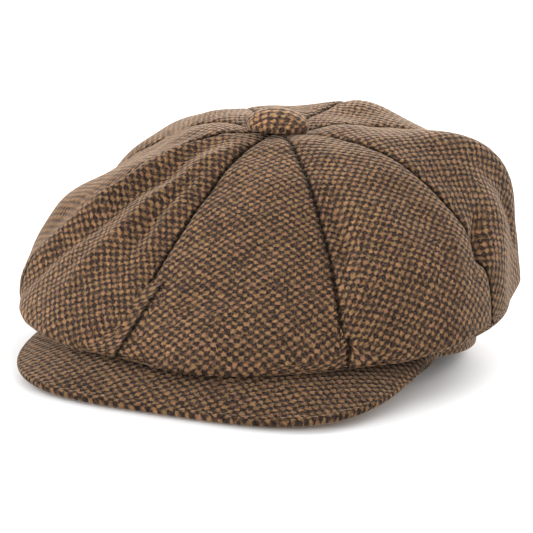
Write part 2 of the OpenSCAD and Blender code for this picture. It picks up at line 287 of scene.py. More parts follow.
# Folds of the soft crown: height in mm (below 0 for a valley), half width in mm,
# and a route of (angle, q) points on the crown.
FOLDS = [
    # the three front gores fall away straight from the button
    (-3.8, 52, [(-60, 0.62), (-20, 0.64), (18, 0.64), (48, 0.62), (76, 0.58)]),
    # wearer's right of the front seam: ridges and valleys fan from the button
    (4.4, 8, [(-56, 0.12), (-49, 0.31), (-46, 0.46), (-52, 0.62), (-58, 0.92)]),
    (-4.4, 6.5, [(-46, 0.16), (-39, 0.34), (-40.5, 0.5), (-45, 0.68), (-50, 0.9)]),
    (3.2, 5.5, [(-24, 0.14), (-25, 0.34), (-29, 0.52), (-32, 0.78)]),
    (-2.8, 4.2, [(-21, 0.26), (-23.5, 0.44), (-22, 0.58)]),
    (1.8, 4.2, [(-16, 0.14), (-18.5, 0.36), (-17.5, 0.5), (-16, 0.64)]),
    # behind the ridge the cloth falls away flat
    (-7.0, 24, [(-80, 0.3), (-86, 0.48), (-88, 0.66)]),
    # crease beside the front seam, and the pull of the seam into the fold
    (-2.4, 3.4, [(40, 0.4), (39.8, 0.52), (37.5, 0.66)]),
    (1.4, 5, [(44, 0.42), (44, 0.56), (41, 0.7)]),
    # side seam towards +X: a short deep pinch pulls the front gore's edge in
    (-6.5, 4.5, [(87, 0.66), (82, 0.72), (78, 0.78)]),
    (1.8, 6, [(74, 0.6), (70, 0.7), (66, 0.82)]),
    (1.6, 9, [(101, 0.5), (98, 0.66), (92, 0.8), (86, 0.92)]),
    # the full fold behind it, seen as the cap's far corner
    (11.0, 15, [(110, 0.36), (116, 0.52), (120, 0.7)]),
    (-3.5, 6, [(108, 0.68), (109, 0.78), (106, 0.88)]),
    # rise behind the button, towards the back
    (6.0, 20, [(166, 0.2), (160, 0.3)]),
    # the crown sags outwards low on the wearer's right, and leans in above the far side
    (2.2, 20, [(-62, 0.92), (-50, 0.99), (-38, 1.04)]),
    (2.2, 12, [(-84, 0.62), (-78, 0.68), (-72, 0.66)]),
    (-3.0, 18, [(-84, 0.38), (-104, 0.36), (-122, 0.3)]),
    (-4.5, 18, [(104, 0.84), (99, 0.92), (93, 1.0)]),
    # back and far side
    (-3.5, 10, [(-101, 0.5), (-103, 0.72), (-102, 0.95)]),
    (2.5, 12, [(-126, 0.45), (-128, 0.8)]),
    (-3.0, 9, [(168, 0.5), (171, 0.75), (169, 1.0)]),
    (2.5, 10, [(184, 0.4), (187, 0.7)]),
    (-2.5, 8, [(-152, 0.55), (-154, 0.85)]),
]


def fold_shift(p, a_route, q_route, height, width):
    """How far the points p (..., 3) are pushed out by one fold, which fades at its ends."""
    t = np.linspace(0, 1, 24)
    k = np.linspace(0, 1, len(a_route))
    line = base_point(np.interp(t, k, a_route), np.interp(t, k, q_route))
    best = np.zeros(p.shape[:-1])
    for j in range(len(line) - 1):
        d = line[j + 1] - line[j]
        s = np.clip(((p - line[j]) @ d) / (d @ d), 0, 1)
        dist = np.linalg.norm(p - line[j] - s[..., None] * d, axis=-1)
        here = (j + s) / (len(line) - 1)
        fade = 0.1 + 0.9 * np.sin(np.pi * np.clip(here, 0, 1)) ** 0.6
        best = np.maximum(best, np.exp(-(dist / width) ** 2) * fade)
    return height * best


def gore_grid(i, across=64, along_top=104, along_under=36):
    """Grid of angles, lengths and plain points of gore i."""
    w = 0.5 - 0.5 * np.cos(np.linspace(0, math.pi, across + 1))
    s = np.linspace(0, 1, along_top + 1)
    q = np.concatenate([s, 1 + np.linspace(0, 1, along_under + 1)[1:]])
    a0 = CROWN_TURN + GORE_ANGLE * (i - 0.5)
    w, q = np.meshgrid(w, q)
    r = np.linalg.norm(base_point(a0 + GORE_ANGLE * w, q)[..., :2], axis=-1)
    inset = np.degrees(GORE_GAP / np.maximum(r, 1))
    a = a0 + inset + (GORE_ANGLE - 2 * inset) * w
    return w, q, a, base_point(a, q)


def gore_shape(i):
    """Outer and inner grid, cloth coordinates and seam distances of gore i."""
    w, q, a, p = gore_grid(i)
    n = grid_normals(p)
    n *= np.sign((n * (p - [0, 0, 40])).sum(-1).mean())
    # distance to the nearer seam
    step = arc_length(p, 1)
    width = step[:, -1:]
    side = np.minimum(step, width - step)
    along = arc_length(p, 0)
    fullness = np.where(q <= 1, sind(90 * np.clip(q, 0, 1)),
                        np.maximum(1 - (q - 1) / PUFF_END, 0))
    shift = PUFF * np.sin(np.pi * w) * fullness
    # seam groove with small puckers along it
    centre = along[:, along.shape[1] // 2][:, None]
    # the seam flattens out towards the fold
    deep = np.minimum(1, width / 22) * (1 - 0.6 * np.clip((q - 0.5) / 0.35, 0, 1))
    pucker = waves(centre, 0 * a + i * 3.1 + (w > 0.5) * 7.7, 9, 0.35, 40 + i, 2)
    shift -= SEAM_DEPTH * deep * np.exp(-(side / SEAM_WIDTH) ** 1.2)
    shift += pucker * np.exp(-((side - 4) / 3.5) ** 2) * deep ** 2
    for height, half, route in FOLDS:
        shift += fold_shift(p, [x[0] for x in route], [x[1] for x in route], height, half)
    # soft unevenness of handled wool, the same on both sides of a seam
    x, y = p[..., 0], p[..., 1] + 0.6 * p[..., 2]
    calm = np.clip(centre / 30, 0, 1)
    shift += waves(x, y, 46, 0.9, 5, 2) * calm
    # the button pulls the crown down round itself
    r = np.linalg.norm(p[..., :2] - [-CROWN_LEAN, BUTTON_BACK], axis=-1)
    shift -= BUTTON_DIP * np.exp(-(r / BUTTON_DIP_R) ** 4)
    outer = p + n * shift[..., None]
    inner = outer - n * CLOTH_SHOWN
    # cloth coordinates: rows bend round the button as in a flat-cut gore
    mid = step - width / 2
    reach = np.maximum(centre, 30)
    v = centre - np.where(q <= 1, 1, 0.4) * mid ** 2 / (2 * reach)
    uv = np.stack([mid, v], -1)
    return outer, inner, uv, np.stack([side, centre + 0 * side], -1)


def build_crown(cloth):
    """Eight puffed gores."""
    for i, node in enumerate(GORE_NAMES):
        outer, inner, uv, seam = gore_shape(i)
        uv = uv + [137.0 * i, 61.0 * i]
        piece = shell(node + "_cloth", outer, inner, uv)
        # second map: millimetres from the nearer seam, for the painted shade in the seam groove
        add_map(piece, "Seam", np.concatenate([seam.reshape(-1, 2)] * 2))
        finish_piece(piece, cloth, "cap", "tweed", node)


# ---- materials ----

class Nodes:
    """Short-hand for building one material's node tree."""

    def __init__(self, name):
        self.material = bpy.data.materials.new(name)
        self.material.use_nodes = True
        self.tree = self.material.node_tree
        self.tree.nodes.clear()
        out = self.tree.nodes.new("ShaderNodeOutputMaterial")
        self.shader = self.tree.nodes.new("ShaderNodeBsdfPrincipled")
        self.link(self.shader.outputs[0], out.inputs[0])

    def link(self, a, b):
        self.tree.links.new(a, b)

    def put(self, value, socket):
        if isinstance(value, bpy.types.NodeSocket):
            self.link(value, socket)
        elif value is not None:
            socket.default_value = value

    def math(self, op, a, b=None):
        node = self.tree.nodes.new("ShaderNodeMath")
        node.operation = op
        self.put(a, node.inputs[0])
        self.put(b, node.inputs[1])
        return node.outputs[0]

    def vector(self, op, a, b=None, scale=None):
        node = self.tree.nodes.new("ShaderNodeVectorMath")
        node.operation = op
        self.put(a, node.inputs[0])
        if b is not None:
            self.put(b, node.inputs[1])
        if scale is not None:
            self.put(scale, node.inputs["Scale"])
        return node.outputs[0]

    def noise(self, vector, scale, detail=2.0, rough=0.5, color=False):
        node = self.tree.nodes.new("ShaderNodeTexNoise")
        self.put(vector, node.inputs["Vector"])
        node.inputs["Scale"].default_value = scale
        node.inputs["Detail"].default_value = detail
        node.inputs["Roughness"].default_value = rough
        return node.outputs["Color" if color else "Fac"]

    def cell_noise(self, vector):
        node = self.tree.nodes.new("ShaderNodeTexWhiteNoise")
        node.noise_dimensions = "3D"
        self.put(vector, node.inputs["Vector"])
        return node.outputs["Color"]

    def ramp(self, value, low, high, to_low=0.0, to_high=1.0, smooth=True):
        node = self.tree.nodes.new("ShaderNodeMapRange")
        node.interpolation_type = "SMOOTHSTEP" if smooth else "LINEAR"
        node.clamp = True
        for k, x in enumerate((value, low, high, to_low, to_high)):
            self.put(x, node.inputs[k])
        return node.outputs[0]

    def mix(self, fac, a, b, blend="MIX"):
        node = self.tree.nodes.new("ShaderNodeMix")
        node.data_type = "RGBA"
        node.blend_type = blend
        self.put(fac, node.inputs[0])
        self.put(a, node.inputs[6])
        self.put(b, node.inputs[7])
        return node.outputs[2]

    def separate(self, vector):
        node = self.tree.nodes.new("ShaderNodeSeparateXYZ")
        self.put(vector, node.inputs[0])
        return node.outputs

    def uv(self, name="Cloth"):
        node = self.tree.nodes.new("ShaderNodeUVMap")
        node.uv_map = name
        return node.outputs[0]

    def position(self):
        return self.tree.nodes.new("ShaderNodeTexCoord").outputs["Object"]

    def bump(self, height, distance, strength):
        node = self.tree.nodes.new("ShaderNodeBump")
        node.inputs["Strength"].default_value = strength
        node.inputs["Distance"].default_value = distance
        self.put(height, node.inputs["Height"])
        return node.outputs[0]

    def set(self, **values):
        names = {"color": "Base Color", "rough": "Roughness", "metal": "Metallic",
                 "sheen": "Sheen Weight", "sheen_rough": "Sheen Roughness",
                 "sheen_tint": "Sheen Tint", "specular": "Specular IOR Level",
                 "normal": "Normal"}
        for key, value in values.items():
            self.put(value, self.shader.inputs[names[key]])


TAN = (0.330, 0.178, 0.084, 1)
TAN_OLIVE = (0.285, 0.168, 0.080, 1)
TAN_PINK = (0.300, 0.155, 0.088, 1)
CHARCOAL = (0.033, 0.024, 0.022, 1)
CHARCOAL_BROWN = (0.105, 0.062, 0.040, 1)
CELL = (2.42 * MM, 2.05 * MM)


def tweed_material(name, light=1.0, painted_seam_shade=False):
    """Hopsack tweed: tan and charcoal blocks of two yarns, fuzzy and uneven.

    With the seam flag, shade is painted into the cloth in the folded seam at both edges of a gore:
    painted shade for the groove. The light factor scales the whole colour up or down, as painted
    light or painted shade."""
    m = Nodes(name)
    uv = m.uv()
    # yarns wander a little, over long and short stretches
    wander = m.vector("SUBTRACT", m.noise(uv, 75, 2, 0.5, color=True), (0.5, 0.5, 0.5))
    jitter = m.vector("SUBTRACT", m.noise(uv, 420, 2, 0.6, color=True), (0.5, 0.5, 0.5))
    moved = m.vector("ADD", uv, m.vector("SCALE", wander, scale=2.6 * MM))
    moved = m.vector("ADD", moved, m.vector("SCALE", jitter, scale=2.6 * MM))
    cells = m.vector("MULTIPLY", moved, (1 / CELL[0], 1 / CELL[1], 0))
    x, y, _ = m.separate(cells)
    sx = m.math("SINE", m.math("MULTIPLY", x, math.pi))
    sy = m.math("SINE", m.math("MULTIPLY", y, math.pi))
    checker = m.math("MULTIPLY", sx, sy)
    # one random tone for each block
    pick, shade, _ = m.separate(m.cell_noise(m.vector("FLOOR", cells)))
    fibre = m.noise(uv, 2400, 3, 0.7)
    fibre_big = m.noise(uv, 900, 3, 0.65)
    # each block leans to its own size, and its edge is ragged with fibres
    lean = m.math("MULTIPLY", m.math("SUBTRACT", shade, 0.5), 0.3)
    ragged = m.math("MULTIPLY", m.math("SUBTRACT", fibre_big, 0.5), 1.5)
    tan = m.ramp(m.math("ADD", m.math("ADD", checker, lean), ragged), -0.36, 0.88)
    warm = m.mix(m.ramp(pick, 0.55, 0.75), TAN, TAN_OLIVE)
    warm = m.mix(m.ramp(pick, 0.25, 0.1), warm, TAN_PINK)
    dark = m.mix(m.ramp(fibre_big, 0.40, 0.72), CHARCOAL, CHARCOAL_BROWN)
    color = m.mix(tan, dark, warm)
    value = m.math("MULTIPLY", m.ramp(fibre, 0.2, 0.8, 0.35, 1.65, smooth=False),
                   m.ramp(shade, 0, 1, 0.86, 1.12))
    patch = m.noise(uv, 28, 2, 0.5)
    value = m.math("MULTIPLY", value, m.ramp(patch, 0.3, 0.7, 0.9, 1.08))
    # painted light or shade: the whole colour is scaled up or down for how the piece is lit
    value = m.math("MULTIPLY", value, light)
    value = m.math("MULTIPLY", value, m.ramp(fibre_big, 0.3, 0.7, 0.72, 1.22))
    if painted_seam_shade:
        # the second map holds millimetres from the nearer seam; the colour is drawn darker towards
        # it, as painted shade in the seam groove
        away, _, _ = m.separate(m.uv("Seam"))
        uneven = m.math("ADD", away, m.math("MULTIPLY", m.math("SUBTRACT", fibre_big, 0.5), 1.2))
        value = m.math("MULTIPLY", value, m.ramp(uneven, 0.35, 1.9, 0.16, 1.0))
    grey = m.tree.nodes.new("ShaderNodeCombineColor")
    for k in range(3):
        m.link(value, grey.inputs[k])
    color = m.mix(1.0, color, grey.outputs[0], "MULTIPLY")
    # light floats of yarn stand proud as rounded beads; fibres lie on top
    bead = m.ramp(checker, -0.9, 0.75)
    height = m.math("ADD", bead, m.math("MULTIPLY", fibre, 0.45))
    height = m.math("ADD", height, m.math("MULTIPLY", fibre_big, 0.35))
    m.set(color=color, rough=0.95, specular=0.1, sheen=0.9, sheen_rough=0.14,
          sheen_tint=(0.80, 0.62, 0.46, 1), normal=m.bump(height, 0.5 * MM, 0.85))
    return m.material


def plain_material(name, color, rough, metal=0.0, sheen=0.0):
    """One colour with a fine grain in tone, roughness and height."""
    m = Nodes(name)
    grain = m.noise(m.position(), 1500, 3, 0.6)
    tone = m.mix(m.ramp(grain, 0.3, 0.7), tuple(c * 0.8 for c in color[:3]) + (1,),
                 tuple(min(c * 1.15, 1) for c in color[:3]) + (1,))
    m.set(color=tone, rough=m.ramp(grain, 0.2, 0.8, rough * 0.85, min(rough * 1.15, 1)),
          metal=metal, sheen=sheen, normal=m.bump(grain, 0.05 * MM, 0.5))
    return m.material


def satin_material(name):
    """Dark satin: smooth, with a soft shine and faint slubs along the threads."""
    m = Nodes(name)
    uv = m.uv()
    slub = m.noise(m.vector("MULTIPLY", uv, (160, 2200, 1)), 1, 3, 0.6)
    cloud = m.noise(uv, 35, 2, 0.5)
    color = m.mix(m.ramp(cloud, 0.3, 0.7), (0.060, 0.040, 0.032, 1), (0.085, 0.060, 0.048, 1))
    m.set(color=color, rough=0.38, specular=0.5, sheen=0.3, sheen_rough=0.4,
          sheen_tint=(0.9, 0.8, 0.7, 1), normal=m.bump(slub, 0.05 * MM, 0.5))
    return m.material


def woven_material(name, color, pitch):
    """Plain narrow twill: diagonal ribs `pitch` millimetres apart."""
    m = Nodes(name)
    uv = m.uv()
    x, y, _ = m.separate(m.vector("SCALE", uv, scale=TAU / (pitch * MM)))
    rib = m.math("SINE", m.math("ADD", x, y))
    tick = m.math("SINE", m.math("SUBTRACT", x, y))
    fibre = m.noise(uv, 1800, 3, 0.7)
    # painted shade: the colour darkens in the valleys between the ribs; fibre noise varies the tone
    tone = m.math("ADD", m.ramp(rib, -1, 1, 0.65, 1.15), m.math("MULTIPLY", fibre, 0.2))
    shade = [c * 0.55 for c in color] + [1]
    mixed = m.mix(tone, tuple(shade), tuple(color) + (1,))
    height = m.math("ADD", rib, m.math("ADD", m.math("MULTIPLY", tick, 0.3), fibre))
    m.set(color=mixed, rough=0.85, specular=0.2, sheen=0.3, sheen_rough=0.4,
          sheen_tint=(0.9, 0.85, 0.8, 1), normal=m.bump(height, 0.12 * MM, 0.7))
    return m.material


# ---- button ----

# the button's cover sits down into the crown by this much
BUTTON_SINK = 2.0
# places of the pieces on the cloth, so that no two show the same weave
BUTTON_UV, BAND_UV, CASING_UV = 900.0, 1100.0, 1500.0
VISOR_UV, VISOR_UNDER_UV = 2100.0, 2500.0


def build_button(cloth):
    """Cloth-covered dome with the cloth tucked under its rim."""
    around = 112
    rim = [(BUTTON_R * math.sin(f), BUTTON_H * math.cos(f))
           for f in np.linspace(0, math.pi / 2, 15)[1:]]
    tuck = [(BUTTON_R - 0.2, -0.8), (BUTTON_R - 0.8, -1.6), (BUTTON_R - 2.4, -2.0),
            (BUTTON_R - 4.6, -1.8)]
    inside = [(BUTTON_R - 4.6, -0.5), (BUTTON_R - 1.7, -0.2)]
    inside += [((BUTTON_R - CLOTH_SHOWN) * math.sin(f), (BUTTON_H - CLOTH_SHOWN) * math.cos(f))
               for f in np.linspace(math.pi / 2, 0, 10)[1:-1]]
    profile = np.array(rim + tuck + inside)
    phi = np.linspace(0, 360, around, endpoint=False)
    r = np.repeat(profile[:, :1], around, 1)
    z = np.repeat(profile[:, 1:], around, 1)
    low_edge = np.exp(-((z - 0.5) / 2.2) ** 2)
    r = r + low_edge * (0.22 * sind(9 * phi + 20) + 0.14 * sind(17 * phi + 80)) * (r > 8)
    z = z + 0.25 * sind(phi + 200) * (r / BUTTON_R) ** 2
    base = CROWN_TOP + CLOTH_T - BUTTON_SINK
    p = point(phi, r, base + z, BUTTON_BACK)
    p[..., 0] -= CROWN_LEAN
    tops = np.array([[-CROWN_LEAN, BUTTON_BACK, base + BUTTON_H - d] for d in (0, CLOTH_SHOWN)])
    rows = len(profile)
    faces = grid_faces(rows, around, wrap=True)
    first, last = rows * around, rows * around + 1
    for c in range(around):
        d = (c + 1) % around
        faces.append((first, d, c))
        faces.append((last, (rows - 1) * around + c, (rows - 1) * around + d))
    # cloth coordinates: a flat disc of cloth, drawn round the dome
    flat = np.concatenate([np.linspace(1, 16, len(rim)), 16 + np.arange(len(tuck)),
                           np.linspace(18, 1, len(inside))])[:, None]
    uv = np.stack([flat * sind(phi - 60), flat * cosd(phi - 60)], -1)
    uv = np.concatenate([uv.reshape(-1, 2), np.zeros((2, 2))]) + BUTTON_UV
    piece = make_mesh("button_cover_cloth", np.concatenate([p.reshape(-1, 3), tops]), faces, uv)
    finish_piece(piece, cloth, "cap", "tweed", "button_cover")


# ---- band ----

def band_ring(a, outline):
    """Cross-section points at angles a; outline (len(a), n, 2) holds depth and height."""
    a = a[:, None]
    return point(a, band_r(a) + outline[..., 0], rim_z(a) + outline[..., 1])


def round_rect(r1, r2, z1, z2, soft=1.2, side_points=9):
    """Outline of a folded strip: rounded low edge, square top."""
    c = (r1 + r2) / 2
    half = (r2 - r1) / 2
    low = [(c + half * math.cos(t), z1 + soft * (1 + math.sin(t)))
           for t in np.linspace(-math.pi, 0, 9)]
    up = [(r2, z) for z in np.linspace(z1 + soft, z2, side_points)[1:]]
    down = [(r1, z) for z in np.linspace(z2, z1 + soft, side_points)[:-1]]
    return np.array(low + up + down)


def sweep_uv(rings, offset):
    """Cloth coordinates of a sweep: along it, and round its cross-section."""
    length = arc_length(rings, 0).mean(1, keepdims=True) + 0 * rings[..., 0]
    girth = arc_length(rings, 1)
    return np.stack([length, girth], -1) + offset


def build_band(cloth):
    """Two halves of doubled cloth round the front and sides, then the back casing."""
    end = 180 - BACK_HALF
    for side, name in ((1, "band_left"), (-1, "band_right")):
        a = np.linspace(0.1, end - 0.1, 120) if side > 0 else np.linspace(0.1 - end, -0.1, 120)
        outline = np.repeat(round_rect(-BAND_T / 2, BAND_T / 2, 0, BAND_H)[None], len(a), 0)
        bulge = np.sin(np.clip(outline[..., 1] / BAND_H, 0, 1) * np.pi)
        outline[..., 0] += 0.5 * bulge * (outline[..., 0] > 0)
        outline[..., 0] += waves(a[:, None], outline[..., 1] * 0.4, 30, 0.35, 71, 2)
        rings = band_ring(a, outline)
        piece = loop_sweep(name + "_cloth", rings, sweep_uv(rings, (BAND_UV, 40.0 * side)))
        finish_piece(piece, cloth, "cap", "tweed", name)
    build_casing(cloth, end)


def build_casing(cloth, end):
    """Back of the band, gathered on its elastic."""
    a = np.linspace(end + 0.1, 360 - end - 0.1, 420)
    outline = np.repeat(round_rect(-BAND_T / 2, BAND_T / 2 + 1.6, 0, BAND_H, 1.8, 14)[None],
                        len(a), 0)
    z = outline[..., 1]
    t = (a - end)[:, None]
    # uneven gathers: pleats bunch and spread along the band
    phase = t * 0.95 + 1.6 * np.sin(t * 0.21 + 0.5) + 0.7 * np.sin(t * 0.47 + 2.0)
    pleat = np.abs(np.sin(phase)) ** 0.8 - 0.55
    lean = 0.35 * np.sin(z / 7 + t * 0.3)
    leaning = np.abs(np.sin(phase + lean)) ** 0.8 - 0.55
    middle = np.sin(np.clip(z / BAND_H, 0, 1) * np.pi) ** 0.5
    outer_side = outline[..., 0] > 0.8
    ends = np.clip(np.minimum(t, (360 - 2 * end) - t) / 4, 0, 1)
    outline[..., 0] += np.where(outer_side, 2.3 * leaning * (0.45 + 0.55 * middle),
                                -0.5 * pleat) * ends
    outline[..., 1] += np.where(z < 2.5, 0.5 * (pleat - pleat.min()), 0) * ends
    rings = band_ring(a, outline)
    piece = loop_sweep("band_back_cloth", rings, sweep_uv(rings, (CASING_UV, 0.0)))
    finish_piece(piece, cloth, "cap", "tweed", "band_back_casing")


# ---- visor ----

def visor_in(u):
    """The visor's sewn edge, along the band, for u from -1 to 1."""
    a = u * VISOR_HALF_ANGLE
    r = band_r(a, BAND_T / 2 + VISOR_GAP)
    return np.stack([r * sind(a), -r * cosd(a), rim_z(a) + VISOR_T / 2 + 0.2], -1)


def visor_out(u):
    """The visor's free edge, for u from -1 to 1."""
    f = u * 90
    front = BAND_RY + VISOR_REACH + 1
    c = np.maximum(cosd(f), 0) ** (2 / VISOR_SQUARE)
    x = VISOR_HALF_W * np.sign(u) * np.abs(sind(f)) ** (2 / VISOR_SQUARE)
    z = VISOR_T / 2 + (rim_z(VISOR_HALF_ANGLE) + 1) * (1 - c)
    return np.stack([x, -VISOR_TIP_Y - (front - VISOR_TIP_Y) * c, z], -1)


def visor_grid(v):
    """Middle surface of the visor, its normals and the edge's outward way."""
    t = np.linspace(-1, 1, 161)
    u = (np.sign(t) * np.abs(t) ** 0.8)[None, :]
    v = np.asarray(v)[:, None]
    inner, outer = visor_in(u), visor_out(u)
    tangent = unit(np.gradient(outer, axis=1))
    way = unit(np.stack([-tangent[..., 1], tangent[..., 0], 0 * tangent[..., 0]], -1))
    way *= np.sign((way * (outer - [0, -60, 0])).sum(-1))[..., None]
    rim = outer - way * VISOR_T / 2
    vv = v[..., None]
    p = inner * (1 - vv) + rim * vv
    p[..., 2] += VISOR_BULGE * 4 * v * (1 - v) * cosd(60 * u)
    return p, way


def build_visor(cloth):
    """Top cover, rolled round the edge of the board, and under cover."""
    v = np.linspace(0, 1, 44)
    p, way = visor_grid(v)
    n = grid_normals(p)
    n *= np.sign(n[..., 2:].mean())
    half = VISOR_T / 2
    ripple = waves(p[..., 0], p[..., 1], 40, 0.35, 90, 2)[..., None]
    top = p + n * (half + ripple)
    bottom = p - n * half
    edge_n, edge_p = n[-1:], p[-1:]
    turn = np.linspace(math.pi / 2, -math.pi / 2 * 0.92, 11)[1:]
    roll = [edge_p + way * half * math.cos(t) + edge_n * half * math.sin(t) for t in turn]
    outer = np.concatenate([top] + roll)
    core = half - VISOR_CLOTH_T
    inner_roll = [edge_p + way * core * math.cos(t) + edge_n * core * math.sin(t)
                  for t in turn]
    inner = np.concatenate([p + n * core] + inner_roll)
    # cloth coordinates: flat over the top, then unrolled outwards round the edge
    over = np.maximum(arc_length(outer, 0) - arc_length(top, 0)[-1], 0)
    outwards = np.concatenate([0 * p, np.repeat(way, len(turn), 0)])[..., :2]
    uv = outer[..., :2] + (over * 0.8)[..., None] * outwards
    piece = shell("visor_top_cloth", outer[::-1], inner[::-1], uv[::-1] + VISOR_UV)
    finish_piece(piece, cloth, "visor", "tweed", "visor_cover_top")
    low_outer = bottom[::-1]
    low_inner = (p - n * core)[::-1]
    uv = np.stack([low_outer[..., 0], -low_outer[..., 1]], -1) + VISOR_UNDER_UV
    piece = shell("visor_under_cloth", low_outer[::-1], low_inner[::-1], uv[::-1])
    finish_piece(piece, cloth, "visor", "tweed", "visor_cover_bottom")


# ---- inside ----

SWEAT_T, SWEAT_H = 1.2, 30.0
SWEAT_OUT = -BAND_T / 2 - 0.3
SWEAT_ROWS = {"low": 4.0, "high": 28.0}
# pitch, length and thickness of the stitches
SWEAT_STITCH, LABEL_STITCH = (3.6, 2.6, 0.55), (2.6, 1.8, 0.4)
LABEL_HALF_ANGLE, LABEL_LOW, LABEL_H = 11.0, 6.0, 14.0
# clear space between two pieces that are sewn together
SEAM_GAP = 0.3
# the lining hangs from this far in, and its dome starts and ends at these heights
LINING_R_IN = SWEAT_OUT - SWEAT_T - SEAM_GAP
LINING_TOP, LINING_START, LINING_T = CROWN_TOP - 22.0, 26.0, 0.8
TIP_R = 56.0


def lining_point(a, r, d):
    """Point of the lining's dome at angle a and radius r, d inside its outer face."""
    rl = band_r(a, LINING_R_IN) - d
    z0 = rim_z(a) + LINING_START
    rise = np.sqrt(np.maximum(1 - (r / rl) ** 2, 0))
    return point(a, np.minimum(r, rl), z0 + (LINING_TOP - d - z0) * rise)


def build_lining_side(side, cloth):
    """One side of the lining, pleated into the seam round its top disc."""
    a = (np.linspace(0.4, 179.6, 260) * side)[:, None]
    t = np.linspace(0, 1, 56)[None]
    rl = band_r(a, LINING_R_IN)
    f0 = np.degrees(np.arcsin((TIP_R + SEAM_GAP) / rl))
    f = f0 + (90 - f0) * t
    outer = lining_point(a, rl * sind(f), 0 * f)
    # small gathers below the seam fade out downwards; broad folds run the whole way
    phase = a * 0.62 + 1.8 * np.sin(a * 0.11) + 0.8 * np.sin(a * 0.29 + 1)
    gathers = np.sin(phase) ** 2 * np.exp(-t / 0.28) * 1.3
    folds = (1 + np.sin(a * 0.19 + 2.2 * np.sin(a * 0.05) + 1.2 * t)) * 0.7 * sind(180 * t) ** 0.7
    soft = np.abs(waves(a * 1.1, t * 60, 34, 0.55, 61, 2))
    held = np.clip(t / 0.06, 0, 1) * np.clip((1 - t) / 0.05, 0, 1)
    inward = (gathers + folds * 1.2 + soft) * held
    low = lining_point(a, (rl - LINING_T) * sind(f), LINING_T + 0 * f)
    way = unit(low - outer)
    n = way * (LINING_T + inward)[..., None]
    uv = np.stack([arc_length(outer, 0).mean(1, keepdims=True) + 0 * t,
                   arc_length(outer, 1) + 0 * a], -1)
    name = "lining_left" if side > 0 else "lining_right"
    piece = shell(name + "_satin", outer + way * inward[..., None] * 0.999, outer + n, uv)
    finish_piece(piece, cloth, "cap", "lining_satin", name)


def build_lining_tip(cloth):
    """Round top of the lining; its edge is eased into the seam."""
    a = np.linspace(0, 360, 181)[:-1, None]
    r = np.concatenate([np.linspace(1.0, TIP_R - 5, 26), np.linspace(TIP_R - 4.4, TIP_R, 10)])[None]
    outer = lining_point(a, r + 0 * a, 0)
    low = lining_point(a, r + 0 * a, LINING_T)
    way = unit(low - outer)
    ease = np.exp(-((r - TIP_R) / 3.5) ** 2)
    ripple = (np.sin(np.radians(a) * 61 + 2 * np.sin(np.radians(a) * 7)) + 1) * 0.3 * ease
    soft = np.abs(waves(r * sind(a), r * cosd(a), 42, 0.8, 62, 2)) * np.clip((TIP_R - r) / 8, 0, 1)
    inward = ripple + soft
    top = outer + way * inward[..., None]
    under = top + way * LINING_T
    rows, cols = r.shape[1], len(a)
    points = np.concatenate([top.transpose(1, 0, 2).reshape(-1, 3),
                             under.transpose(1, 0, 2).reshape(-1, 3),
                             [[0, 0, top[:, 0, 2].mean()], [0, 0, under[:, 0, 2].mean()]]])
    hub_top, hub_under = len(points) - 2, len(points) - 1
    n = rows * cols
    faces = []
    for k in range(rows - 1):
        for j in range(cols):
            b, c, d, e = (k * cols + j, k * cols + (j + 1) % cols,
                          (k + 1) * cols + (j + 1) % cols, (k + 1) * cols + j)
            faces += [(b, c, d, e), (n + e, n + d, n + c, n + b)]
    for j in range(cols):
        k = (j + 1) % cols
        faces += [(hub_top, k, j), (hub_under, n + j, n + k),
                  ((rows - 1) * cols + j, (rows - 1) * cols + k,
                   n + (rows - 1) * cols + k, n + (rows - 1) * cols + j)]
    uv = points[:, :2]
    piece = make_mesh("lining_tip_satin", points, faces, uv)
    finish_piece(piece, cloth, "cap", "lining_satin", "lining_tip")


def thread_row(name, material, stitches, thick):
    """A row of short stitches, each a little bent capsule between two points."""
    points, faces = [], []
    ring, steps = 8, 6
    for start, end, out in stitches:
        along = unit(end - start)
        side = unit(np.cross(along, out))
        base = len(points)
        for k in range(steps + 1):
            u = k / steps
            lift = math.sin(math.pi * u)
            c = start + (end - start) * u + out * thick * (0.55 * lift - 0.25)
            fat = thick * 0.5 * max(math.sin(math.pi * (0.12 + 0.76 * u)), 0.3)
            for j in range(ring):
                w = TAU * j / ring
                points.append(c + (side * math.cos(w) + out * math.sin(w)) * fat)
        for k in range(steps):
            for j in range(ring):
                j2 = (j + 1) % ring
                faces.append((base + k * ring + j, base + k * ring + j2,
                              base + (k + 1) * ring + j2, base + (k + 1) * ring + j))
        faces.append(tuple(base + j for j in range(ring - 1, -1, -1)))
        faces.append(tuple(base + steps * ring + j for j in range(ring)))
    points = np.array(points)
    piece = make_mesh(name, points, faces, points[:, :2])
    finish_piece(piece, material, "cap", "sweatband_cloth")


def ring_stitches(height, depth, pitch, length, a1=0.0, a2=360.0):
    """Stitches round the inside of the head opening, `depth` in from the band."""
    girth = TAU * (BAND_RX + depth) * (a2 - a1) / 360
    count = int(girth / pitch)
    out = []
    for k in range(count):
        b1 = a1 + (a2 - a1) * k / count
        b2 = b1 + (a2 - a1) / count * length / pitch
        mid = (b1 + b2) / 2
        p1, p2 = (point(b, band_r(b, depth), rim_z(b) + height) for b in (b1, b2))
        away = np.array([-math.sin(math.radians(mid)), math.cos(math.radians(mid)), 0.0])
        out.append((p1, p2, away))
    return out


